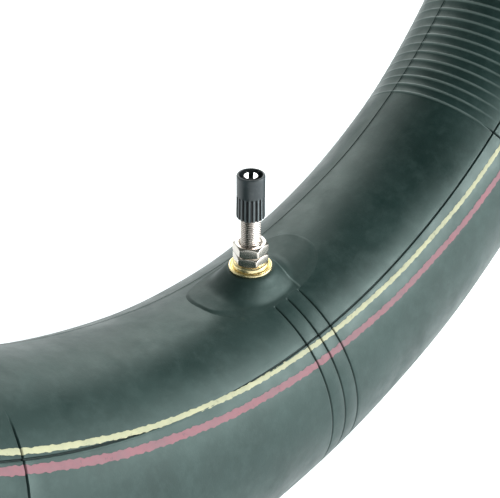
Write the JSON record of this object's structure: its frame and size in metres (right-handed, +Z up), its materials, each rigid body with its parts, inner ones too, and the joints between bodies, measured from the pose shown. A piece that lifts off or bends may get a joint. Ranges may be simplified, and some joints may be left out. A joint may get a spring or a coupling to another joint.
{
  "type": "inner tube",
  "caption": "Ring-shaped rubber inner tube with a straight metal valve, clamp nuts, dished washer, valve core and fluted screw cap.",
  "frame": {"origin": "centre of the ring, midway across its width", "axes": "+Y is the ring's axis, the wheel's spin axis; the valve stands at the bottom of the ring, at -Z, and points up along +Z"},
  "size_m": [0.6256, 0.0935, 0.6256],
  "materials": {
    "butyl": "satin butyl with a faint dusty bloom",
    "patch_rubber": "satin moulded rubber",
    "yellow_paint": "thin marking paint",
    "red_paint": "thin marking paint, worn",
    "nickel": "bright nickel plate on brass",
    "nut_nickel": "bright nickel plate on brass",
    "washer_brass": "yellow plated, pressed",
    "core_brass": "turned brass",
    "liner_brass": "turned brass",
    "core_seal": "smooth seal",
    "spring_steel": "drawn wire",
    "gasket_rubber": "soft black rubber",
    "cap_plastic": "satin moulded plastic",
    "key_steel": "bright metal"
  },
  "bodies": {
    "tube": {"tube_body": "butyl", "stripe_yellow": "yellow_paint", "stripe_red": "red_paint", "valve_patch": "patch_rubber", "valve_base": "patch_rubber", "valve_stem": "nickel"},
    "washer": {"rim_washer": "washer_brass"},
    "lower_nut": {"lower_nut": "nut_nickel"},
    "upper_nut": {"upper_nut": "nut_nickel"},
    "core": {"core_barrel": "core_brass", "core_seal": "core_seal", "core_spring": "spring_steel"},
    "core_plug": {"core_plug": "core_brass"},
    "plunger": {"core_pin": "core_brass", "core_pin_head": "core_brass", "core_cup": "core_brass", "cup_gasket": "gasket_rubber"},
    "cap_carrier": {"cap_seal": "gasket_rubber"},
    "cap": {"cap_shell": "cap_plastic", "cap_liner": "liner_brass", "core_key": "key_steel"}
  },
  "joints": [
    {"name": "washer_lift", "type": "slide", "parent": "tube", "child": "washer", "axis": [0, 0, 1], "range_m": [0, 0.00397]},
    {"name": "lower_nut_turn", "type": "hinge", "parent": "washer", "child": "lower_nut", "pos_m": [0, 0, -0.20885], "axis": [0, 0, 1], "range_deg": [0, 1800]},
    {"name": "upper_nut_run", "type": "slide", "parent": "washer", "child": "upper_nut", "axis": [0, 0, 1], "range_m": [0, 0.007]},
    {"name": "cap_lift", "type": "slide", "parent": "tube", "child": "cap_carrier", "axis": [0, 0, 1], "range_m": [0, 0.00714]},
    {"name": "cap_turn", "type": "hinge", "parent": "cap_carrier", "child": "cap", "pos_m": [0, 0, -0.1832], "axis": [0, 0, 1], "range_deg": [0, 3240]},
    {"name": "core_lift", "type": "slide", "parent": "tube", "child": "core", "axis": [0, 0, 1], "range_m": [0, 0.00282]},
    {"name": "core_turn", "type": "hinge", "parent": "core", "child": "core_plug", "pos_m": [0, 0, -0.1852], "axis": [0, 0, 1], "range_deg": [0, 1440]},
    {"name": "pin_press", "type": "slide", "parent": "core", "child": "plunger", "axis": [0, 0, -1], "range_m": [0, 0.0012], "stiffness_N_per_m": 800, "springref_m": -0.001, "deforming": ["core_spring"]}
  ],
  "couplings": [
    {"joint": "lower_nut_turn", "follows": "washer_lift", "rad_per_m": 7915.8},
    {"joint": "cap_turn", "follows": "cap_lift", "rad_per_m": 7915.8},
    {"joint": "core_turn", "follows": "core_lift", "rad_per_m": 8904.7}
  ]
}
